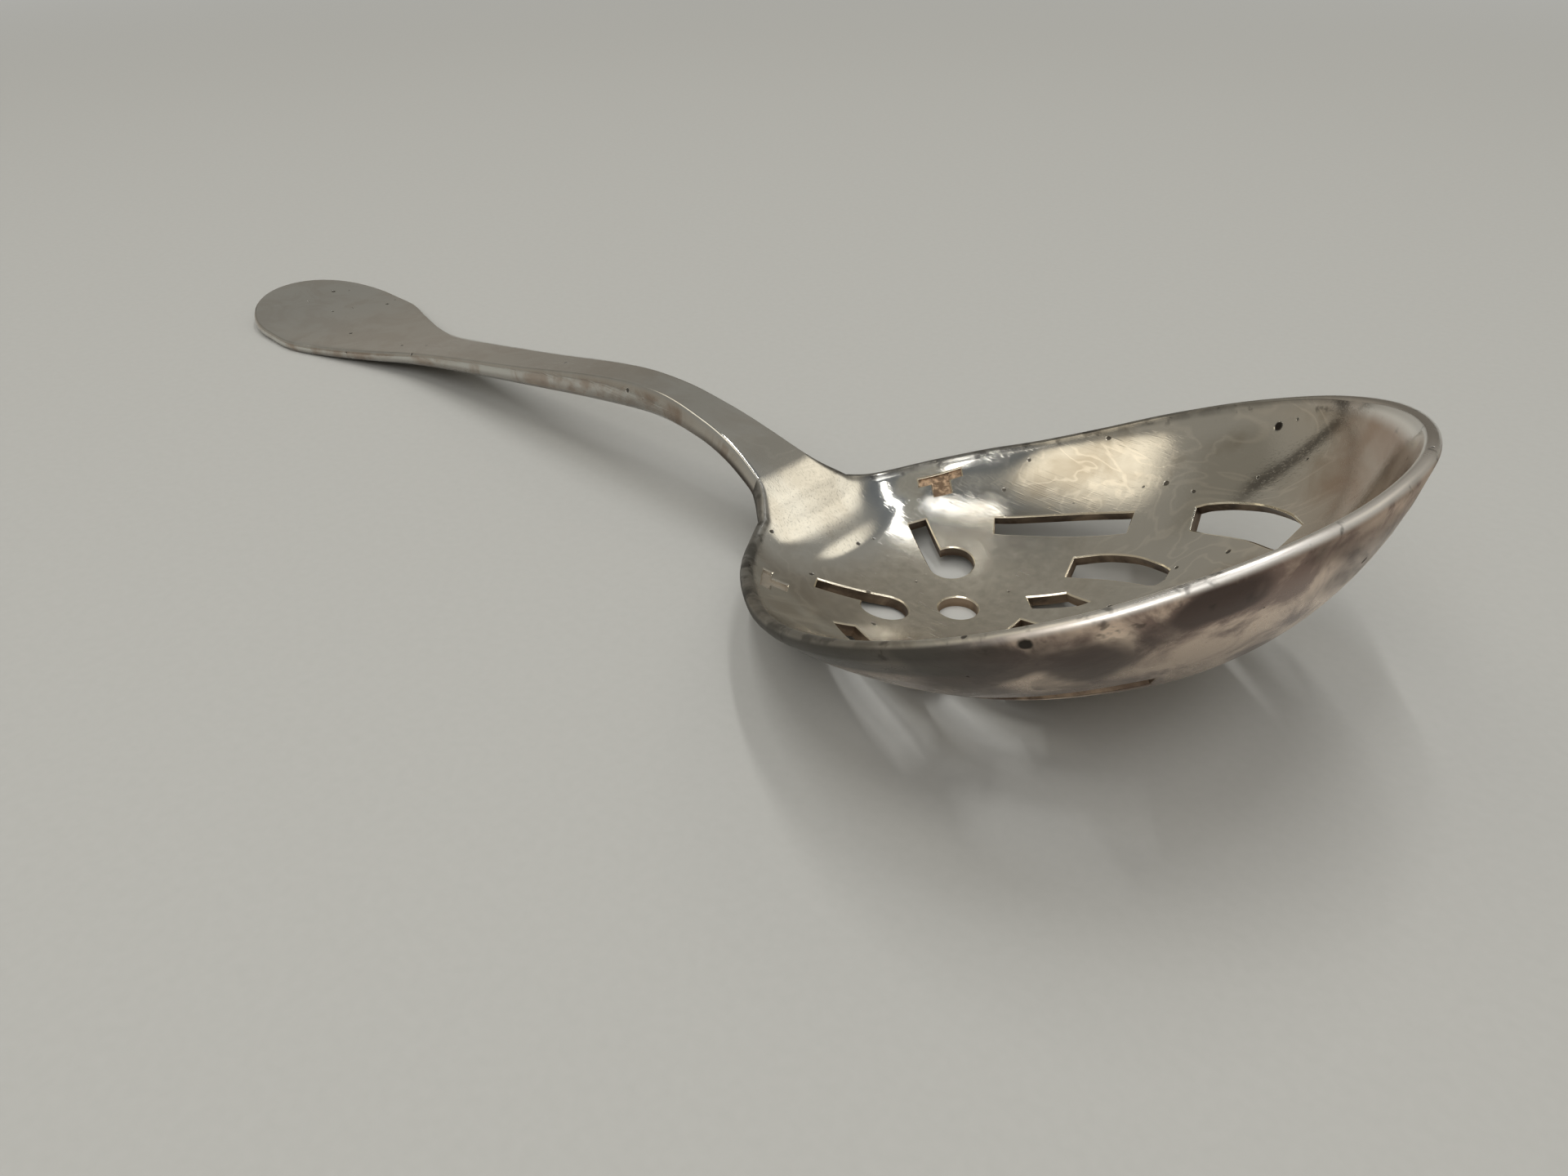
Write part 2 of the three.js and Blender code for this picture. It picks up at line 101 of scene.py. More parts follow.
join_overlap = 1.6
neck_blend = 0.9
neck_root_end = 14.8
neck_spread_start = 17.8
neck_fan_start = 24.6
neck_bevel_start = 22.8
stem_end = 96.8
paddle_start = 126.3
rest_level = 0.15
print("handle", round(handle_reach - join_distance, 1), "mm long from the join")

# %% [markdown]
# ## Reading the curves
#
# A curve through a dozen readings is smooth enough for polished metal if it passes each
# reading at the slope of its neighbours. Numpy reads it for thousands of points at once,
# which a loop in Python would take minutes to do.


# %% Read a smooth curve
def read_curve(places, values, at):
    places = np.asarray(places, float)
    values = np.asarray(values, float)
    last = len(places) - 1
    i = np.clip(np.searchsorted(places, at, side="left") - 1, 0, last - 1)
    span = places[i + 1] - places[i]
    t = np.clip((at - places[i]) / span, 0, 1)
    before = np.maximum(np.arange(last + 1) - 1, 0)
    after = np.minimum(np.arange(last + 1) + 1, last)
    slope = (values[after] - values[before]) / (places[after] - places[before])
    start = (2 * t**3 - 3 * t**2 + 1) * values[i] + (t**3 - 2 * t**2 + t) * span * slope[i]
    end = (3 * t**2 - 2 * t**3) * values[i + 1] + (t**3 - t**2) * span * slope[i + 1]
    return start + end


def read_rim(shares, angle):
    mirrored = [shares[1], *shares, shares[-2]]
    turned = np.degrees(np.abs(np.arctan2(np.sin(angle), np.cos(angle))))
    return read_curve(np.arange(len(mirrored)) - 1, mirrored, turned / rim_step_degrees)


def read_handle(shares, distance):
    return read_curve(station_shares[: len(shares)], shares, distance / handle_reach)


def smooth_step(value, low, high):
    t = np.clip((value - low) / (high - low), 0, 1)
    return t * t * (3 - 2 * t)


eighths = np.radians([0, 45, 90, 135, 180])
print("rim reach every 45 degrees:", np.round(bowl_reach * read_rim(rim_reach_shares, eighths), 1))

# %% [markdown]
# ## The upper face of the metal
#
# The inside of the bowl rises from its bottom to the rim, gently at first and then steeply,
# like a quarter of an ellipse. The neck runs down into it. A soft maximum of the two heights
# gives the fan shaped web that spreads from the neck, as it does on the struck blank.


# %% Height, thickness and slope of the metal
slope_step = 0.02


def bowl_height(x, y):
    angle = np.arctan2(y, x)
    share = np.minimum(np.hypot(x, y) / (bowl_reach * read_rim(rim_reach_shares, angle)), 1)
    full = read_rim(wall_fullness_shares, angle)
    tuck = 1 - np.sqrt(1 - (wall_upright_share * share) ** 2)
    rise = (1 - full) * share**2 + full * tuck / (1 - math.sqrt(1 - wall_upright_share**2))
    return bowl_thickness + (rim_height * read_rim(rim_height_shares, angle) - bowl_thickness) * rise


def upper_height(x, y):
    bowl = bowl_height(x, y)
    neck = arch_height * read_handle(top_height_shares, -x)
    inner_end = join_distance - join_overlap
    from_bowl = smooth_step(-x, neck_root_end, neck_spread_start)
    to_handle = 1 - smooth_step(-x, neck_fan_start, inner_end)
    web = (neck + bowl + np.hypot(neck - bowl, neck_blend * from_bowl * to_handle)) / 2
    return np.where(-x <= neck_root_end, bowl, np.where(-x >= inner_end, neck, web))


def thickness_at(x):
    return np.where(-x <= neck_root_end, bowl_thickness, stem_thickness * read_handle(thickness_shares, -x))


def bulge_at(x):
    return np.where(-x <= neck_root_end, bowl_thickness / 2, stem_bevel * read_handle(bevel_shares, -x))


def upper_normal(x, y):
    slope_x = (upper_height(x + slope_step, y) - upper_height(x - slope_step, y)) / (2 * slope_step)
    slope_y = (upper_height(x, y + slope_step) - upper_height(x, y - slope_step)) / (2 * slope_step)
    normal = np.stack([-slope_x, -slope_y, np.ones_like(slope_x)], axis=-1)
    return normal / np.linalg.norm(normal, axis=-1, keepdims=True)


axis_places = np.array([-27.0, -20, -10, 0, 20, 38])
axis_heights = upper_height(axis_places, np.zeros_like(axis_places))
print("inside heights along the axis:", np.round(axis_heights, 1))


# %% Plan outline of the bowl, with the neck run out behind it
halvings = 40


def half_width(distance):
    return paddle_half_width * read_handle(half_width_shares, distance)


def plan_reach(angle):
    rim = bowl_reach * read_rim(rim_reach_shares, angle)
    back = -np.cos(angle)
    side = np.abs(np.sin(angle))
    end = (join_distance + join_overlap) / np.maximum(back, 1e-3)
    low, high = rim.copy(), np.maximum(end, rim)
    within = (back > 0) & (side * low < half_width(back * low))
    for _ in range(halvings):
        middle = (low + high) / 2
        inside = side * middle < half_width(back * middle)
        low, high = np.where(inside, middle, low), np.where(inside, high, middle)
    return np.where(within, np.minimum(low, end), rim)


def plan_point(angle, share=1):
    reach = plan_reach(angle) * share
    return reach * np.cos(angle), reach * np.sin(angle)


plan_width = 2 * float(np.max(plan_point(np.radians(np.arange(180)))[1]))
print("upper face of the bowl", round(plan_width, 1), "mm wide")

# %% Even steps round the outline
rim_steps = 340
fine_steps = 14400
fine = np.linspace(-math.pi, math.pi, fine_steps + 1)
fine_x, fine_y = plan_point(fine)
run = np.concatenate([[0], np.cumsum(np.hypot(np.diff(fine_x), np.diff(fine_y)))])
rim_angles = np.interp(np.arange(rim_steps) * run[-1] / rim_steps, run, fine)
print("outline of", round(run[-1], 1), "mm in", rim_steps, "steps")

# %% [markdown]
# ## A sheet rolled up from a grid
#
# Blender's grid operator makes a neat sheet of quads. Rolled up so that its first and last
# columns meet, and welded there, it becomes a closed tube through any rows of points. The
# blank, the punches that pierce it and the stem are all such tubes, so one helper makes them.


# %% Roll a grid into a closed tube
def closed_tube(rows):
    rows = np.asarray(rows, float)
    row_count, around = rows.shape[:2]
    bm = bmesh.new()
    bmesh.ops.create_grid(bm, x_segments=around, y_segments=row_count - 1, size=1)
    for vert in bm.verts:
        column = round((vert.co.x + 1) / 2 * around) % around
        row = round((vert.co.y + 1) / 2 * (row_count - 1))
        vert.co = rows[row, column]
    bmesh.ops.remove_doubles(bm, verts=bm.verts, dist=1e-5)
    bmesh.ops.dissolve_degenerate(bm, edges=bm.edges, dist=1e-6)
    bmesh.ops.holes_fill(bm, edges=bm.edges, sides=0)
    bmesh.ops.recalc_face_normals(bm, faces=bm.faces)
    return bm


def make_object(name, bm):
    mesh = bpy.data.meshes.new(name)
    bm.to_mesh(mesh)
    bm.free()
    piece = bpy.data.objects.new(name, mesh)
    bpy.context.scene.collection.objects.link(piece)
    return piece


# %% [markdown]
# ## The flat blank
#
# The blank is a thin coin in the plan of the bowl. Its outer rows already hold the rounded
# edge that the polisher leaves, and the bevelled sides where the neck begins. They stand out
# past the outline by as much as they will stand out from the rim.

# %% Profile of the edge, from the upper face round to the lower face
edge_steps = 12
edge_turn = np.pi * np.arange(edge_steps + 1) / edge_steps
edge_down = (1 - np.cos(edge_turn)) / 2
edge_part = np.arange(edge_steps + 1) / edge_steps
round_out = np.sin(edge_turn)
bevel_widest_share = 2 / 3
bevel_out = np.minimum(edge_part / bevel_widest_share, (1 - edge_part) / (1 - bevel_widest_share))
print("edge profile of", edge_steps, "steps")

# %% Lay out the blank
ring_count = 58
centre_share = 0.03
ring_crowding = 0.9
ring_shares = centre_share + (1 - centre_share) * np.linspace(0, 1, ring_count + 1) ** ring_crowding
blank_reach = plan_reach(rim_angles)
rim_x = blank_reach * np.cos(rim_angles)
bevelled = smooth_step(-rim_x, neck_bevel_start, join_distance)


def blank_ring(reach, depth):
    x, y = reach * np.cos(rim_angles), reach * np.sin(rim_angles)
    return np.stack([x, y, np.full(rim_steps, -depth)], axis=-1)


blank_rows = [blank_ring(blank_reach * share, 0) for share in ring_shares]
for k in range(1, edge_steps):
    out = bulge_at(rim_x) * ((1 - bevelled) * round_out[k] + bevelled * bevel_out[k])
    blank_rows.append(blank_ring(blank_reach + out, bowl_thickness * edge_down[k]))
blank_rows += [blank_ring(blank_reach * share, bowl_thickness) for share in ring_shares[::-1]]
blank = make_object("blank", closed_tube(blank_rows))
print("blank with", len(blank.data.polygons), "faces")

# %% [markdown]
# ## The piercings
#
# The holes were cut by hand with a fine saw: a round hole on the axis, a pair of commas, four
# pairs of slots and a pointed slot towards the tip. A pair of T shapes is only punched part of
# the way down. The outlines are in the flat plan. Those off the axis are given once, on the
# left side, and mirrored.

# %% Sizes of the piercings
round_hole_centre, round_hole_radius = -0.27, 2.27
comma_head, comma_radius = (-5.97, 6.35), 2.7
comma_tail_length, comma_tail_width, comma_tail_degrees = 8.1, 2.25, 33
long_slot = dict(
    centre=(1.93, 16.9), length=15.9,
    outer_shares=[(-0.5, -0.11), (-0.264, 0.013), (-0.044, 0.107), (0.182, 0.182), (0.459, 0.239)],
    inner_shares=[(-0.412, -0.236), (-0.17, -0.135), (0.182, -0.019), (0.503, 0.075)],
)
bent_slot = dict(
    centre=(12.13, 12.9), length=11.9,
    outer_shares=[
        (-0.5, 0.063), (-0.294, 0.151), (-0.101, 0.185), (0.113, 0.176), (0.353, 0.101), (0.479, 0.034),
    ],
    inner_shares=[(-0.433, -0.176), (-0.084, -0.118), (0.21, -0.122), (0.429, -0.151), (0.496, -0.084)],
)
rim_slot = dict(
    centre=(22.73, 17.5), length=13.3,
    outer_shares=[
        (-0.496, 0.293), (-0.398, 0.308), (-0.188, 0.282), (0.075, 0.188), (0.331, 0.015), (0.504, -0.165),
    ],
    inner_shares=[(-0.429, 0.09), (-0.09, -0.015), (0.158, -0.135), (0.414, -0.316)],
)
leaf_slot = dict(
    centre=(8.43, 6.5), length=6.9,
    corner_shares=[
        (-0.507, -0.051), (0.014, 0.275), (0.109, 0.246), (0.493, 0.174), (0.377, 0.051), (-0.261, -0.268),
    ],
)
axis_slot_start, axis_slot_straight, axis_slot_taper, axis_slot_width = 6.6, 2.85, 3.6, 4.8
ornament_centre, ornament_degrees = (-15.22, 16.0), 49
ornament_bar, ornament_stem, ornament_depth = (5.45, 0.95), (2.2, 1.87), 0.45
print("round hole", 2 * round_hole_radius, "mm across, long slots", long_slot["length"], "mm long")


# %% Outlines in the flat plan
def placed(centre, length, shares):
    return [(centre[0] + length * x, centre[1] + length * y) for x, y in shares]


def smooth_edge(points, per_span=6):
    points = np.array(points)
    ends = np.array([2 * points[0] - points[1], *points, 2 * points[-1] - points[-2]])
    made = []
    for i in range(1, len(ends) - 2):
        for t in np.arange(per_span) / per_span:
            a, b, c, d = ends[i - 1 : i + 3]
            bend = (2 * a - 5 * b + 4 * c - d) * t * t + (3 * b - a - 3 * c + d) * t**3
            made.append(b + ((c - a) * t + bend) / 2)
    return [*made, points[-1]]


def band_outline(slot):
    outer = smooth_edge(placed(slot["centre"], slot["length"], slot["outer_shares"]))
    inner = smooth_edge(placed(slot["centre"], slot["length"], slot["inner_shares"]))
    return [*outer, *inner[::-1]]


def circle_outline(centre, radius, steps=56):
    turn = 2 * np.pi * np.arange(steps) / steps
    return np.stack([centre + radius * np.cos(turn), radius * np.sin(turn)], axis=-1)


def comma_outline(steps=48):
    lean = math.radians(comma_tail_degrees)
    along, across = np.array([-math.cos(lean), math.sin(lean)]), np.array([math.sin(lean), math.cos(lean)])
    near = comma_tail_width - comma_radius
    sweep = 1.5 * math.pi - math.asin(near / comma_radius)
    turn = -math.pi / 2 - sweep * np.arange(steps + 1) / steps
    ring = [(comma_radius * math.cos(a), comma_radius * math.sin(a)) for a in turn]
    corners = [(comma_tail_length, near), (comma_tail_length, -comma_radius), *ring]
    return [np.array(comma_head) + a * along + b * across for a, b in corners]


def ornament_outline():
    lean = math.radians(ornament_degrees)
    bar, down = np.array([math.cos(lean), math.sin(lean)]), np.array([math.sin(lean), -math.cos(lean)])
    half_bar, half_deep, half_stem = ornament_bar[0] / 2, ornament_bar[1] / 2, ornament_stem[0] / 2
    foot = half_deep + ornament_stem[1]
    corners = [
        (-half_bar, -half_deep), (-half_bar, half_deep), (-half_stem, half_deep), (-half_stem, foot),
        (half_stem, foot), (half_stem, half_deep), (half_bar, half_deep), (half_bar, -half_deep),
    ]
    return [np.array(ornament_centre) + a * bar + b * down for a, b in corners]


def axis_slot_outline():
    half = axis_slot_width / 2
    start, shoulder = axis_slot_start, axis_slot_start + axis_slot_straight
    point = shoulder + axis_slot_taper
    return [(start, -half), (shoulder, -half), (point, 0), (shoulder, half), (start, half)]


through_outlines = [circle_outline(round_hole_centre, round_hole_radius), axis_slot_outline()]
bands = [band_outline(slot) for slot in (long_slot, bent_slot, rim_slot)]
leaf_outline = placed(leaf_slot["centre"], leaf_slot["length"], leaf_slot["corner_shares"])
for outline in [comma_outline(), *bands, leaf_outline]:
    through_outlines += [outline, [(x, -y) for x, y in outline]]
ornament_outlines = [ornament_outline(), [(x, -y) for x, y in ornament_outline()]]
print(len(through_outlines), "holes and", len(ornament_outlines), "sunk ornaments")

# %% [markdown]
# ## Punches with a worn edge
#
# Years of polishing round off a sawn edge, and that thin bright line is what the eye sees
# first. The punch for each hole therefore flares by a tenth of a millimetre or so where it
# meets each face, and leaves a small chamfer.


# %% Make one punch
edge_wear = 0.13
punch_room = 0.4
sharpest_share = 0.35


def turning_left(outline):
    points = np.array(outline, float)
    x, y = points.T
    area = np.sum(x * np.roll(y, -1) - y * np.roll(x, -1))
    return points if area > 0 else points[::-1]


def close_steps(points, longest=0.6):
    made = []
    for a, b in zip(points, np.roll(points, -1, axis=0)):
        count = max(1, math.ceil(np.linalg.norm(b - a) / longest))
        made += [a + (b - a) * k / count for k in range(count)]
    return np.array(made)


def edge_normals(sides):
    outward = np.stack([sides[:, 1], -sides[:, 0]], axis=-1)
    return outward / np.linalg.norm(sides, axis=-1, keepdims=True)


def grown(points, by):
    out_before = edge_normals(points - np.roll(points, 1, axis=0))
    out_after = edge_normals(np.roll(points, -1, axis=0) - points)
    share = 1 + np.sum(out_before * out_after, axis=-1, keepdims=True)
    return points + by * (out_before + out_after) / np.maximum(share, sharpest_share)


def punch(outline, depth=None):
    points = close_steps(turning_left(outline))
    levels = [(punch_room, punch_room + edge_wear), (0, edge_wear), (-edge_wear, 0)]
    if depth is None:
        levels += [(edge_wear - bowl_thickness, 0), (-bowl_thickness, edge_wear)]
        levels += [(-bowl_thickness - punch_room, edge_wear + punch_room)]
    else:
        levels += [(-depth, 0)]
    rows = [np.column_stack([grown(points, by), np.full(len(points), z)]) for z, by in levels]
    return make_object("punch", closed_tube(rows))


print("punches leave a chamfer of", edge_wear, "mm")


# %% Pierce the blank
def cut_away(piece, tools):
    for tool in tools:
        cut = piece.modifiers.new("cut", "BOOLEAN")
        cut.operation, cut.solver, cut.object = "DIFFERENCE", "EXACT", tool
    cut_mesh = bpy.data.meshes.new_from_object(piece.evaluated_get(bpy.context.evaluated_depsgraph_get()))
    for tool in tools:
        bpy.data.objects.remove(tool)
    piece.modifiers.clear()
    piece.data = cut_mesh


punches = [punch(outline) for outline in through_outlines]
punches += [punch(outline, ornament_depth) for outline in ornament_outlines]
cut_away(blank, punches)
print("pierced blank with", len(blank.data.polygons), "faces")

# %% [markdown]
# ## Raising the bowl
#
# The pierced blank is bent by moving each vertex to the upper face of the bowl and then into
# the metal along the normal there, by as much as it lay below the face of the blank. The walls
# of the holes stay square to the metal, as they do when a real blank is pressed.


# %% How the blank bends
just_inside = 0.9999
turn_step = 0.0035


def bend(flat):
    x, y, down = flat[:, 0], flat[:, 1], -flat[:, 2]
    angle, reach = np.arctan2(y, x), np.maximum(np.hypot(x, y), 1e-6)
    rim = plan_reach(angle)
    past = np.maximum(reach - rim, 0)
    share = np.minimum(rim / reach, 1)
    px, py = x * share, y * share
    at_rim = np.where(reach > rim * just_inside, just_inside, 1)
    normal = upper_normal(px * at_rim, py * at_rim)
    ahead, behind = plan_point(angle + turn_step), plan_point(angle - turn_step)
    outward = np.stack([ahead[1] - behind[1], behind[0] - ahead[0], np.zeros_like(x)], axis=-1)
    outward -= normal * np.sum(outward * normal, axis=-1, keepdims=True)
    outward /= np.maximum(np.linalg.norm(outward, axis=-1, keepdims=True), 1e-9)
    top = np.stack([px, py, upper_height(px, py)], axis=-1)
    depth = down / bowl_thickness * thickness_at(px)
    return top + outward * past[:, None] - normal * depth[:, None]


def distance_to(outlines, x, y):
    nearest = np.full(len(x), 1e3)
    for outline in outlines:
        points = turning_left(outline)
        for (ax, ay), (bx, by) in zip(points, np.roll(points, -1, axis=0)):
            dx, dy = bx - ax, by - ay
            t = np.clip(((x - ax) * dx + (y - ay) * dy) / (dx * dx + dy * dy + 1e-12), 0, 1)
            nearest = np.minimum(nearest, np.hypot(x - ax - t * dx, y - ay - t * dy))
    return nearest


deepest = bend(np.array([[0.0, 0, -bowl_thickness]]))[0]
print("the bottom of the blank bends to", np.round(deepest, 2), "mm")

# %% Bend it, and mark where wear will show
cut_mark_fade = 0.45
rim_mark_fade = 0.8
level_margin = 0.01
bm = bmesh.new()
bm.from_mesh(blank.data)
bpy.data.objects.remove(blank)
bmesh.ops.remove_doubles(bm, verts=bm.verts, dist=1e-4)
bmesh.ops.triangulate(bm, faces=[face for face in bm.faces if len(face.verts) > 4])
flat = np.array([vert.co for vert in bm.verts])
bent = bend(flat)
flat_x, flat_y, flat_z = flat.T
from_cut = distance_to(through_outlines + ornament_outlines, flat_x, flat_y)
from_rim = np.maximum(plan_reach(np.arctan2(flat_y, flat_x)) - np.hypot(flat_x, flat_y), 0)
mark_names = ("under", "cut_edge", "rim_edge", "sunk")
layers = {name: bm.verts.layers.float.new(name) for name in mark_names}
marks = {
    "under": np.clip(-flat_z / bowl_thickness, 0, 1),
    "cut_edge": np.exp(-from_cut / cut_mark_fade),
    "rim_edge": np.exp(-from_rim / rim_mark_fade),
    "sunk": (np.abs(flat_z + ornament_depth) < level_margin).astype(float),
}
for index, vert in enumerate(bm.verts):
    vert.co = bent[index]
    for name, layer in layers.items():
        vert[layer] = marks[name][index]
print("bent", len(bm.verts), "vertices")


# %% Trim the join, level the worn flats and set the piece down
join_margin = 0.06


def trim_and_level(bm, keep_side):
    for distance, clear in ((join_distance, True), (join_distance - keep_side * join_margin, False)):
        everything = bm.verts[:] + bm.edges[:] + bm.faces[:]
        bmesh.ops.bisect_plane(
            bm, geom=everything, plane_co=(-distance, 0, 0), plane_no=(-keep_side, 0, 0),
            clear_outer=clear, clear_inner=False, dist=1e-4)
    open_edges = [edge for edge in bm.edges if edge.is_boundary]
    bmesh.ops.triangle_fill(bm, edges=open_edges, use_beauty=True)
    for vert in bm.verts:
        vert.co.z = max(vert.co.z, rest_level)
    bmesh.ops.recalc_face_normals(bm, faces=bm.faces)


bowl_low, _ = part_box("bowl")
bowl_centre_x = bowl_low.x * 1000 + join_distance
to_frame = Matrix.Scale(0.001, 4) @ Matrix.Translation((bowl_centre_x, 0, -rest_level))
trim_and_level(bm, 1)
bm.transform(to_frame)
pierced_bowl = make_object("pierced_bowl", bm)
print("bowl of", len(pierced_bowl.data.polygons), "faces, set at x =", round(bowl_centre_x, 2))

# %% [markdown]
# ## The handle
#
# The stem is flat on top with bevelled sides that spread low down and tuck under, and it
# flattens into a rounded paddle that rests on the table. It is a loft: one section after
# another along the arch, with the last ones drawn in as half an ellipse.

# %% Sections of the handle
end_start = handle_reach * station_shares[len(half_width_shares) - 1]
across_count = 19
across_shares = np.linspace(-1, 1, across_count)[1:-1]


def handle_half(distance):
    past = np.clip((distance - end_start) / (handle_reach - end_start), 0, 1)
    return np.where(distance <= end_start, half_width(distance), paddle_half_width * np.sqrt(1 - past**2))


def handle_section(distance):
    x, half = -distance, float(handle_half(distance))
    ahead = min(distance + slope_step, handle_reach)
    slope = float(handle_half(ahead) - handle_half(distance - slope_step)) / (2 * slope_step)
    normal = upper_normal(np.array([x]), np.zeros(1))[0]
    thickness, bulge = float(thickness_at(x)), float(bulge_at(x))
    paddle = float(smooth_step(distance, stem_end, paddle_start))
    out = bulge * (paddle * round_out + (1 - paddle) * bevel_out)
    level = float(upper_height(np.array([x]), np.zeros(1))[0])
    flat_row = np.ones_like(across_shares)
    above = np.stack([flat_row * x, half * across_shares, flat_row * level], axis=-1)
    sides = []
    for side in (1, -1):
        away = np.array([-1.0, 0, 0]) if distance >= handle_reach else np.array([slope, side, 0.0])
        away -= normal * away.dot(normal)
        away /= np.linalg.norm(away)
        edge_top = np.array([x, side * half, level])
        sides.append(edge_top + out[:, None] * away - (edge_down * thickness)[:, None] * normal)
    below = above - thickness * normal
    return np.concatenate([above, sides[0], below[::-1], sides[1][::-1]])


print("a section has", len(handle_section(handle_reach / 2)), "points")

# %% Loft the handle
stem_row_step = 0.8
end_row_count = 37
stem_rows = np.arange(join_distance - join_overlap, end_start, stem_row_step)
end_rows = end_start + (handle_reach - end_start) * np.sin(np.linspace(0, np.pi / 2, end_row_count))
bm = closed_tube([handle_section(d) for d in [*stem_rows, *end_rows]])
for name in mark_names:
    bm.verts.layers.float.new(name)
under_layer = bm.verts.layers.float["under"]
for vert in bm.verts:
    level = float(upper_height(np.array([vert.co.x]), np.zeros(1))[0])
    vert[under_layer] = min(max((level - vert.co.z) / float(thickness_at(vert.co.x)), 0), 1)
trim_and_level(bm, -1)
bm.transform(to_frame)
arched_handle = make_object("arched_handle", bm)
print("handle of", len(arched_handle.data.polygons), "faces")

# %% Smooth the polished faces and keep the cut edges crisp
sharp_angle_degrees = 32
for piece, node in ((pierced_bowl, "bowl"), (arched_handle, "handle")):
    piece.data.shade_smooth()
    piece.data.set_sharp_from_angle(angle=math.radians(sharp_angle_degrees))
    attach(piece, "root")
    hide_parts(node)
    print(piece.name, "takes the place of the node", node)

# %% [markdown]
# ## Writing shader sums as Python
#
# Worn silver needs many small masks, and a node tree written node by node hides how they are
# combined. A small class wraps one socket, so that a sum or product of masks reads as a sum or
# product in Python, and each adds its own Math node.


# %% A socket that can be added and multiplied
class Wire:
    def __init__(self, tree, socket):
        self.tree, self.socket = tree, socket

    def math(self, operation, *values):
        node = self.tree.nodes.new("ShaderNodeMath")
        node.operation = operation
        for socket, value in zip(node.inputs, values):
            plug_in(self.tree, socket, value)
        return Wire(self.tree, node.outputs[0])

    def __add__(self, other):
        return self.math("ADD", self, other)

    def __radd__(self, other):
        return self.math("ADD", other, self)

    def __sub__(self, other):
        return self.math("SUBTRACT", self, other)

    def __rsub__(self, other):
        return self.math("SUBTRACT", other, self)

    def __mul__(self, other):
        return self.math("MULTIPLY", self, other)

    def __rmul__(self, other):
        return self.math("MULTIPLY", other, self)

    def __truediv__(self, other):
        return self.math("DIVIDE", self, other)

    def __pow__(self, other):
        return self.math("POWER", self, other)

    def clamp(self):
        return self.math("MINIMUM", self.math("MAXIMUM", self, 0.0), 1.0)


def plug_in(tree, socket, value):
    if isinstance(value, Wire):
        tree.links.new(value.socket, socket)
    elif hasattr(socket.default_value, "__len__") and not hasattr(value, "__len__"):
        socket.default_value = [value] * len(socket.default_value)
    elif hasattr(value, "__len__") and len(socket.default_value) == 4 and len(value) == 3:
        socket.default_value = (*value, 1)
    else:
        socket.default_value = value


# %% A node tree whose nodes come from one method
class Finish:
    def __init__(self, owner):
        owner.use_nodes = True
        self.tree = owner.node_tree
        self.tree.nodes.clear()

    def node(self, kind, settings=(), output=0, **inputs):
        node = self.tree.nodes.new("ShaderNode" + kind)
        for name, value in dict(settings).items():
            setattr(node, name, value)
        for name, value in inputs.items():
            key = int(name[1:]) if name[0] == "i" and name[1:].isdigit() else name.replace("_", " ")
            plug_in(self.tree, node.inputs[key], value)
        return Wire(self.tree, node.outputs[output])

    def noise(self, place, scale, detail=3.0, roughness=0.5, distortion=0.0):
        look = dict(Scale=scale, Detail=detail, Roughness=roughness, Distortion=distortion)
        return self.node("TexNoise", Vector=place, **look)

    def distance(self, place, centre):
        return self.node("VectorMath", {"operation": "DISTANCE"}, output=1, i0=place, i1=centre)

    def steps(self, value, low, high):
        smooth = {"interpolation_type": "SMOOTHSTEP"}
        return self.node("MapRange", smooth, Value=value, From_Min=low, From_Max=high)

    def mix(self, factor, a, b):
        return self.node("Mix", {"data_type": "RGBA"}, output=2, i0=factor, i6=a, i7=b)

    def mark(self, name):
        return self.node("Attribute", {"attribute_name": name, "attribute_type": "GEOMETRY"}, output="Fac")

    def stretched(self, place, scale, turn=(0, 0, 0)):
        return self.node("Mapping", Vector=place, Scale=scale, Rotation=turn)

    def finish(self, kind, shader):
        out = self.tree.nodes.new("ShaderNodeOutput" + kind)
        self.tree.links.new(shader.socket, out.inputs["Surface"])


# %% [markdown]
# ## Worn silver plate
#
# The plate is mirror bright where fingers and cloths reach it, and satin in the bottom of the
# bowl, where forks have scraped for years. It has hair fine scratches, dark pits, a tan haze
# inside and plum brown tarnish outside, made darker still with painted shade where the outside
# mirrors the shadowed floor. Pale cream swirl lines on the wall and neck are a painted
# reflection, and the rim towards the tip is painted near white, rubbed bright by use and with a
# painted highlight. Dark bronze shows in the sawn walls, with a thin bright line where each wall
# meets the face. Each of these is a mask, and the masks are mixed in turn.
#
# Most of the tarnish falls where a noise puts it. The largest dark and pale patches of the
# near outside wall, and two worn spots, are placed one by one, close to where the real ones are.
# The patches are tarnish with painted shade where the wall mirrors the shadowed floor, and
# painted light where it mirrors the lit floor.

# %% Where each kind of wear lies
silver_plate = bpy.data.materials.new("worn_silver_plate")
silver = Finish(silver_plate)
place = silver.node("TexCoord", output="Object")
along, aside, upward = [silver.node("SeparateXYZ", output=k, Vector=place) for k in range(3)]
under, cut, rim, sunk = [silver.mark(name) for name in mark_names]
cloud = silver.noise(place, 60, 4, 0.55, 0.5)
patch = silver.noise(place, 150, 5, 0.62, 0.7)
past_centre = along - bowl_centre_x / 1000
from_centre = (past_centre * past_centre + aside * aside) ** 0.5
outside = silver.steps(under, 0.42, 0.72)
satin = 1 - silver.steps(from_centre + (cloud - 0.5) * 0.012, 0.012, 0.021)
tip = silver.steps(past_centre + (cloud - 0.5) * 0.02, 0.024, 0.039)
polished = 1 - silver.steps(past_centre + (cloud - 0.5) * 0.008, -0.019, -0.008)
wall = silver.steps(cut, 0.86, 0.97) * silver.steps(under, 0.07, 0.13)
bright_edge = silver.steps(cut, 0.62, 0.78) * (1 - wall) * (1 - silver.steps(under, 0.09, 0.2))
print("masks laid out with", len(silver.tree.nodes), "nodes")
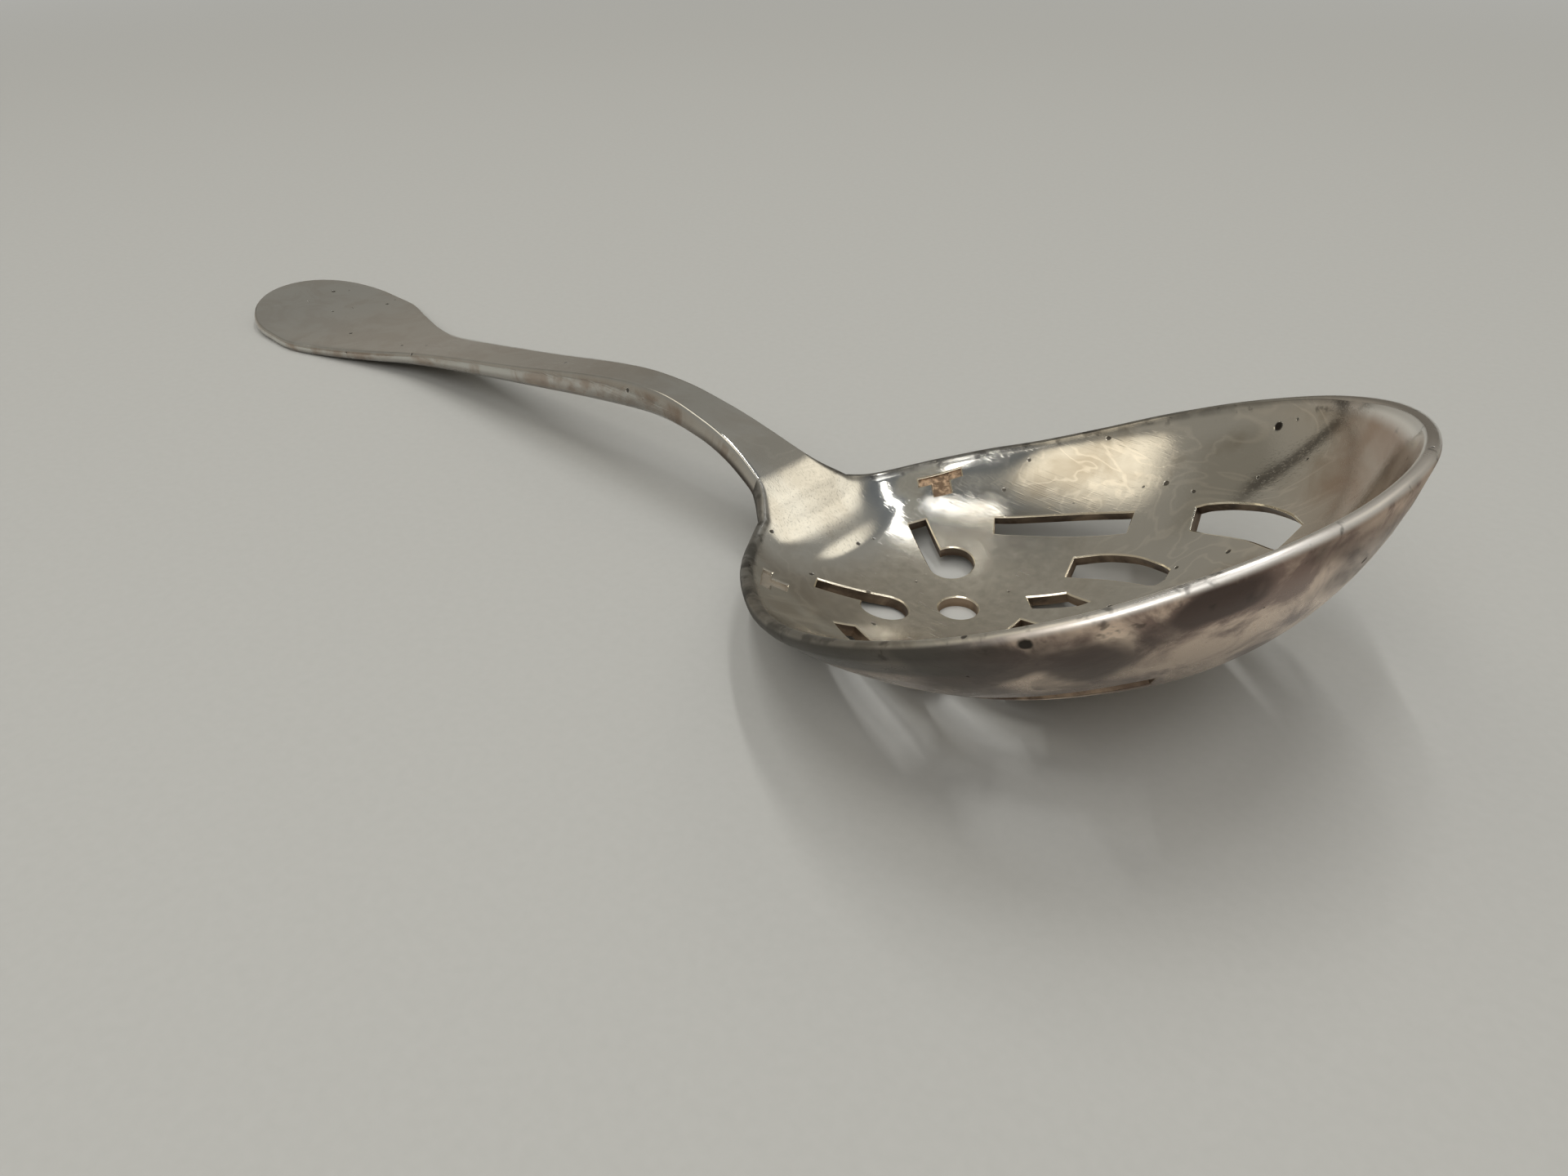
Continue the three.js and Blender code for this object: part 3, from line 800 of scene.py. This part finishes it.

# %% Colours of the plate, of its wear, and of painted light and shade
# The cream on the next line colours lines of painted reflection.
plate_grey, haze_tan, reflection_swirl_cream = (0.67, 0.635, 0.56), (0.47, 0.415, 0.33), (0.93, 0.86, 0.74)
satin_dark, satin_pale = (0.50, 0.46, 0.385), (0.74, 0.695, 0.60)
tip_copper, crown_copper = (0.50, 0.345, 0.255), (0.37, 0.25, 0.18)
polished_grey, stem_grey, patina_brown = (0.70, 0.695, 0.66), (0.60, 0.59, 0.55), (0.40, 0.32, 0.26)
# These outside colours are tarnish, made darker with painted shade and paler with painted light where the
# outside mirrors the floor. The near black on the next line is painted shade.
tarnish_and_shade_brown, tarnish_and_light_tan = (0.27, 0.195, 0.165), (0.90, 0.73, 0.59)
plum_tarnish_and_shade, lip_shade_grey = (0.075, 0.055, 0.05), (0.07, 0.067, 0.06)
bronze_dark, bronze_pale = (0.12, 0.085, 0.06), (0.36, 0.27, 0.19)
brass_dark, brass_pale = (0.22, 0.15, 0.10), (0.72, 0.53, 0.36)
# The near white on the next line is partly a painted highlight.
edge_cream, rubbed_highlight_white = (0.95, 0.86, 0.68), (0.99, 0.96, 0.91)
rim_grey, heel_grey, pit_brown = (0.25, 0.225, 0.19), (0.11, 0.104, 0.092), (0.05, 0.043, 0.036)
# The darkest outside colour is tarnish deepened with painted shade.
print("plate colour", plate_grey, "and darkest tarnish", plum_tarnish_and_shade)

# %% Colour of the inside and of the handle, with painted reflection lines
haze = silver.steps(cloud + (patch - 0.5) * 0.5, 0.40, 0.66)
swirl = silver.noise(silver.stretched(place, (1, 1, 2.2)), 42, 3, 0.5, 2.2)
# Pale cream swirl lines on the wall between bottom and tip, and on the neck, are a painted reflection of the
# room's pale patches.
reflection_swirl_lines = silver.steps((swirl * 17).math("PINGPONG", swirl * 17, 1.0), 0.62, 0.98)
mid_wall = (1 - satin) * (1 - tip) * (1 - polished)
colour = silver.mix(haze * 0.85, plate_grey, haze_tan)
colour = silver.mix(reflection_swirl_lines * (mid_wall * 0.35 + polished * 0.22), colour, reflection_swirl_cream)
speckle = silver.noise(place, 900, 2, 0.6)
scraped = silver.mix((patch + (speckle - 0.5) * 1.5).clamp(), satin_dark, satin_pale)
colour = silver.mix(satin * 0.7, colour, scraped)
colour = silver.mix(tip * (0.6 + haze * 0.35), colour, tip_copper)
crown = silver.steps(upward + (cloud - 0.5) * 0.006, 0.0215, 0.0265)
colour = silver.mix(tip * crown * 0.8, colour, crown_copper)
colour = silver.mix(polished * (1 - haze * 0.35), colour, polished_grey)
stem = 1 - silver.steps(past_centre, -0.045, -0.030)
colour = silver.mix(stem * (0.85 - haze * 0.2), colour, stem_grey)
side_face = silver.steps(under, 0.1, 0.3) * (1 - silver.steps(past_centre, -0.028, -0.022))
patina = silver.steps(patch, 0.42, 0.62) * (side_face * 0.62 + stem * 0.2)
colour = silver.mix(patina, colour, patina_brown)
print("inside and handle of", len(silver.tree.nodes), "nodes")

# %% Tarnish outside, with painted shade and light of the mirrored floor
heel = 1 - silver.steps(past_centre, -0.012, 0.022)
plum = 0.5 + (cloud - 0.5) * 0.8 + (patch - 0.5) * 0.42 + heel * 0.08
# Dark patches (positive) and pale patches (negative), placed one by one: tarnish, with painted shade and
# painted light of the mirrored floor.
stains_and_shade_patches = [
    ((0.0757, -0.0313, 0.0212), 0.0050, 0.26), ((0.0799, -0.0293, 0.0212), 0.0042, 0.24),
    ((0.0860, -0.0243, 0.0218), 0.0052, 0.16), ((0.0924, -0.0199, 0.0282), 0.0034, 0.24),
    ((0.0939, -0.0175, 0.0287), 0.0034, 0.22), ((0.0902, -0.0220, 0.0256), 0.0032, 0.10),
    ((0.0927, -0.0155, 0.0232), 0.0052, -0.24), ((0.0903, -0.0184, 0.0210), 0.0040, -0.16),
    ((0.0874, -0.0252, 0.0262), 0.0018, -0.12), ((0.0819, -0.0251, 0.0183), 0.0045, -0.14),
    ((0.0969, -0.0106, 0.0282), 0.0036, -0.05),
]
lean = 0.0
for centre, reach, deeper in stains_and_shade_patches:
    away = silver.distance(place, centre)
    lean = silver.steps(away + (patch - 0.5) * 0.004, reach, reach * 0.25) * deeper + lean
plum = silver.steps(plum + lean, 0.42, 0.63)
tan = silver.steps(patch - lean * 0.7, 0.38, 0.60)
tarnish_and_painted_light = silver.mix(tan, tarnish_and_shade_brown, tarnish_and_light_tan)
tarnish_and_painted_light = silver.mix(plum * 0.92, tarnish_and_painted_light, plum_tarnish_and_shade)
# Behind the tip, the band under the rim and the heel half of the outside are painted near black: painted
# shade of the shadowed floor they mirror.
lip = silver.steps(past_centre, 0.026, 0.016) * silver.steps(rim, 0.02, 0.12)
tarnish_and_painted_light = silver.mix((heel * 0.6 + lip * 0.78).clamp(), tarnish_and_painted_light, lip_shade_grey)
colour = silver.mix(outside * 0.93 * (1 - stem * 0.5), colour, tarnish_and_painted_light)
print("tarnish with", len(stains_and_shade_patches), "stains and bare patches placed one by one")

# %% Bronze walls, brass ornaments and bright edges
bronze = silver.mix(silver.steps(patch, 0.4, 0.65), bronze_dark, bronze_pale)
faint = (1 - silver.steps(aside, -0.0135, -0.0125)) * (1 - silver.steps(past_centre, -0.0115, -0.0105))
colour = silver.mix(wall * (0.95 - faint * 0.75), colour, bronze)
grain = silver.steps(silver.noise(place, 1500, 3, 0.7), 0.42, 0.64)
brassy = silver.mix(grain * silver.steps(cloud, 0.36, 0.60), brass_dark, brass_pale)
brass_share = 0.08 + 0.84 * silver.steps(aside, -0.004, 0.004)
colour = silver.mix(silver.steps(sunk, 0.3, 0.8) * brass_share, colour, brassy)
colour = silver.mix(bright_edge * (0.7 - faint * 0.55), colour, edge_cream)
print("pierced edges of", len(silver.tree.nodes), "nodes")

# %% Rubbed rim with a painted highlight, grime and pits
# The rim towards the tip is painted near white: rubbed bright by use, and a painted highlight of the
# mirrored lamps.
rubbed_and_highlight = silver.steps(rim, 0.50, 0.9) * (1 - silver.steps(under, 0.75, 0.98))
rubbed_and_highlight = rubbed_and_highlight * silver.steps(past_centre, 0.018, 0.034)
colour = silver.mix(rubbed_and_highlight * 0.85, colour, rubbed_highlight_white)
far_side = silver.steps(aside, 0.002, 0.012)
far_rim = silver.steps(rim, 0.82, 0.98) * far_side * (1 - stem)
behind_tip = 1 - silver.steps(past_centre, 0.004, 0.026)
heel_rim = silver.steps(rim, 0.45, 0.85) * behind_tip * (1 - stem)
colour = silver.mix(far_rim * 0.38, colour, rim_grey)
mottled = silver.steps(silver.noise(place, 330, 3, 0.6), 0.44, 0.60)
heel_share = 0.66 - far_side * 0.30 + mottled * 0.26
colour = silver.mix(heel_rim * heel_share, colour, heel_grey)
pit_size = silver.noise(place, 700, 1)
pit_distance = silver.node("TexVoronoi", Vector=place, Scale=300.0)
pits = silver.steps(pit_distance + (pit_size - 0.5) * 0.28, 0.075, 0.03)
worn_spots = [((0.0781, 0.0280, 0.0211), 0.00062), ((0.0824, -0.0290, 0.0246), 0.00075)]
worn = 0.0
for centre, size in worn_spots:
    away = silver.distance(place, centre)
    worn = silver.steps(away + (speckle - 0.5) * 0.0003, size, size * 0.6) + worn
grime = silver.noise(place, 420, 3, 0.6)
grime = silver.steps(rim, 0.25, 0.8) * silver.steps(grime, 0.60 - heel * 0.07, 0.70 - heel * 0.05)
colour = silver.mix((pits * 0.85 + grime * 0.6 + worn).clamp(), colour, pit_brown)
print("colour of", len(silver.tree.nodes), "nodes")

# %% Scratches, roughness and bump
scratch = 0.0
for turn, size in (((0, 0, 0.5), 3600), ((0, 0, 1.9), 4200), ((0.5, 0.3, -0.6), 3900)):
    lay = silver.stretched(place, (0.02, 1.0, 1.0), turn)
    scratch = silver.steps(silver.noise(lay, size, 1, 0.5), 0.60, 0.74) + scratch
rough = 0.10 - polished * 0.03 + satin * 0.10 + haze * 0.04 + tip * 0.04
rough = rough + outside * 0.12 + plum * outside * 0.08
rough = rough + wall * 0.25 + silver.steps(sunk, 0.2, 0.8) * 0.25
rough = rough + silver.steps(rim, 0.3, 0.9) * (0.32 - far_side * 0.24 - rubbed_and_highlight * 0.17)
rough = rough + scratch * 0.025 + pits * 0.3
ripple = silver.noise(place, 130, 2, 0.5)
wave = silver.noise(place, 62, 1, 0.5)
grit = silver.noise(place, 2600, 2, 0.6)
height = ripple * 0.045 + wave * 0.11 + patch * outside * 0.02 + wall * patch * 0.12
height = height - scratch * 0.0018 + grit * 0.0016 - pits * 0.06 - worn * 0.08
bump = silver.node("Bump", Strength=1.0, Distance=0.001, Height=height)
shader = silver.node("BsdfPrincipled", Base_Color=colour, Metallic=1.0, Roughness=rough.clamp(), Normal=bump)
silver.finish("Material", shader)
for piece in (pierced_bowl, arched_handle):
    piece.data.materials.append(silver_plate)
print("silver finish of", len(silver.tree.nodes), "nodes")

# %% [markdown]
# ## Floor, light and camera
#
# The spoon lies on a pale floor under two long ceiling lamps, so its shadow is short, and
# bright streaks fall where light passes the piercings. The lamps are narrow, as their mirror
# images in the neck of the spoon are. Of the second one only the two ends that the plate
# mirrors are placed. Two wide panels stand for the bright room in front and past the tip.

# %% Floor
floor_half_width = 6
backdrop = (0.48, 0.48, 0.46)
bm = bmesh.new()
bmesh.ops.create_grid(bm, x_segments=1, y_segments=1, size=floor_half_width)
floor = make_object("floor", bm)
pale_floor = bpy.data.materials.new("pale_floor")
paint = Finish(pale_floor)
floor_place = paint.node("TexCoord", output="Object")
mottling = paint.noise(floor_place, 900, 2, 0.5)
tint = paint.mix(mottling, (0.455, 0.455, 0.435), (0.485, 0.485, 0.465))
matt = paint.node("BsdfPrincipled", Base_Color=tint, Roughness=0.8, Specular_IOR_Level=0.15)
from_middle = paint.node("VectorMath", {"operation": "LENGTH"}, output=1, i0=floor_place)
far_away = paint.steps(from_middle, 0.3, 0.95)
to_camera = paint.node("LightPath", output="Is Camera Ray")
haze_out = paint.node("Emission", Color=backdrop)
paint.finish("Material", paint.node("MixShader", i0=far_away * to_camera, i1=matt, i2=haze_out))
floor.data.materials.append(pale_floor)
print("floor", 2 * floor_half_width, "m wide")


# %% Lamps
def lamp(name, at, along, size, power, mirrored=True):
    light = bpy.data.lights.new(name, "AREA")
    light.shape, (light.size, light.size_y) = "RECTANGLE", size
    light.energy, light.color = power, (1, 0.99, 0.97)
    way = Vector(at).normalized()
    lengthways = (Vector(along) - way * Vector(along).dot(way)).normalized()
    turn = Matrix((lengthways, way.cross(lengthways), way)).transposed()
    made = bpy.data.objects.new(name, light)
    made.matrix_world = Matrix.Translation(at) @ turn.to_4x4()
    made.visible_glossy = mirrored
    bpy.context.scene.collection.objects.link(made)


long_tube = dict(at=(-0.042, 0.389, 1.2), along=(-0.62, 0.46, 0), size=(0.78, 0.06))
second_tube = dict(at=(-0.087, -0.111, 1.2), along=(-0.26, 0.35, 0), size=(0.83, 0.035))
tube_ends = [((0.062, -0.349, 1.2), 0.28, 0.26), ((-0.335, 0.200, 1.2), 0.15, 0.09)]
tube_end_width = 0.016
lamp("long_tube", power=1.75, **long_tube)
for k, (end_at, long, power) in enumerate(tube_ends):
    lamp(f"second_tube_end_{k + 1}", end_at, second_tube["along"], (long, tube_end_width), power)
lamp("front_panel", (0.35, -0.9, 1.0), (0.9, 0.35, 0), (0.9, 0.7), 6.2)
lamp("side_panel", (0.62, -0.05, 1.2), (0, 1, 0), (0.5, 0.4), 1.2)
print("tubes of", long_tube["size"][0], "and", second_tube["size"][0], "m")

# %% [markdown]
# A narrow tube bright enough to cast the shadow would burn out its own mirror image in the
# plate. Two more lamps therefore stand where the tubes are. They light the floor and cast the
# shadow, and the plate doesn't mirror them.

# %% Lamps for the shadow
lamp("long_tube_shadow", power=1.4, mirrored=False, **long_tube)
lamp("second_tube_shadow", power=2.8, mirrored=False, **second_tube)

# %% [markdown]
# The world stands in for the room that the plate mirrors. Its walls are warm and pale, and the
# ceiling is a cooler grey with a lighter strip across it. Two pale panels of ceiling give the
# plate the soft cream patches that make it read as metal. Past the end of the handle, a dusky
# stretch of wall and a dark upright edge give it darker bands. The camera itself sees a plain
# pale backdrop.

# %% World
world = bpy.data.worlds.new("studio")
bpy.context.scene.world = world
room = Finish(world)
way_out = room.node("TexCoord", output="Generated")
east, north, up = [room.node("SeparateXYZ", output=k, Vector=way_out) for k in range(3)]
lift = up.math("MAXIMUM", up, 0.05)
east_slope, north_slope = east / lift, north / lift


def panel(east_range, north_range, soft=0.13):
    mask = 1.0
    for slope, (low, high) in ((east_slope, east_range), (north_slope, north_range)):
        mask = room.steps(slope, low - soft, low + soft) * mask
        mask = (1 - room.steps(slope, high - soft, high + soft)) * mask
    return mask


low_wall_warm, low_wall_dim, high_wall = (0.33, 0.305, 0.265), (0.19, 0.175, 0.15), (0.30, 0.29, 0.265)
dusky, ceiling_grey, strip_pale = (0.18, 0.165, 0.135), (0.16, 0.17, 0.178), (0.36, 0.345, 0.30)
panel_cream, edge_dark = (1.32, 1.23, 1.05), (0.04, 0.035, 0.03)
ceiling = room.steps(up, 0.74, 0.92)
strip_place = east_slope * 0.8 + north_slope * 0.6 + 0.03
strip = room.steps(strip_place * strip_place, 0.012, 0.0025) * ceiling
behind = room.steps(east, -0.6, -0.8)
dusk = room.steps(north, -0.35, -0.12) * room.steps(north, 0.25, 0.08) * behind
dusk = dusk * room.steps(up, 0.3, 0.42) * room.steps(up, 0.66, 0.58)
low_wall = room.mix(room.steps(north, 0.35, 0.8), low_wall_warm, low_wall_dim)
walls = room.mix(room.steps(up, 0.1, 0.5), low_wall, high_wall)
walls = room.mix(dusk * 0.55, walls, dusky)
shade = room.mix(ceiling, walls, ceiling_grey)
shade = room.mix(strip * 0.8, shade, strip_pale)
shade = room.mix(panel((-0.98, -0.27), (-0.58, -0.06)), shade, panel_cream)
shade = room.mix(panel((0.0, 0.6), (0.78, 1.1)), shade, panel_cream)
edge_place = north / east + 0.13
edge = room.steps(edge_place * edge_place, 0.0049, 0.0004) * behind * room.steps(up, 0.5, 0.4)
shade = room.mix(edge * 0.85, shade, edge_dark)
seen = room.node("LightPath", output="Is Camera Ray")
room.finish("World", room.node("Background", Color=room.mix(seen, shade, backdrop), Strength=1.0))
print("world of", len(room.tree.nodes), "nodes")

# %% Camera, solved from the photograph's own perspective
sensor_width = 36
focal_pixels, frame_width = 1429.9, 1920
pitch, roll, yaw = math.radians(33.73), math.radians(0.53), math.radians(43.37)
camera_from_bowl = Vector((60.835, -93.74, 78.01))
camera_mm = camera_from_bowl + Vector((bowl_centre_x, 0, -rest_level))
ahead = Vector((-math.sin(yaw), math.cos(yaw), 0))
right = Vector((math.cos(yaw), math.sin(yaw), 0))
look = ahead * math.cos(pitch) - Vector((0, 0, 1)) * math.sin(pitch)
down = -ahead * math.sin(pitch) - Vector((0, 0, 1)) * math.cos(pitch)
right, down = right * math.cos(roll) + down * math.sin(roll), down * math.cos(roll) - right * math.sin(roll)
camera = bpy.data.objects.new("camera", bpy.data.cameras.new("camera"))
camera.data.sensor_width = sensor_width
camera.data.lens = sensor_width * focal_pixels / frame_width
camera.data.clip_start = 0.005
facing = Matrix((right, -down, -look)).transposed().to_4x4()
camera.matrix_world = Matrix.Translation(camera_mm * 0.001) @ facing
bpy.context.scene.collection.objects.link(camera)
bpy.context.scene.camera = camera
bpy.context.scene.view_settings.view_transform = "Standard"
print("camera at", [round(c) for c in camera_mm], "mm with a lens of", round(camera.data.lens, 1), "mm")
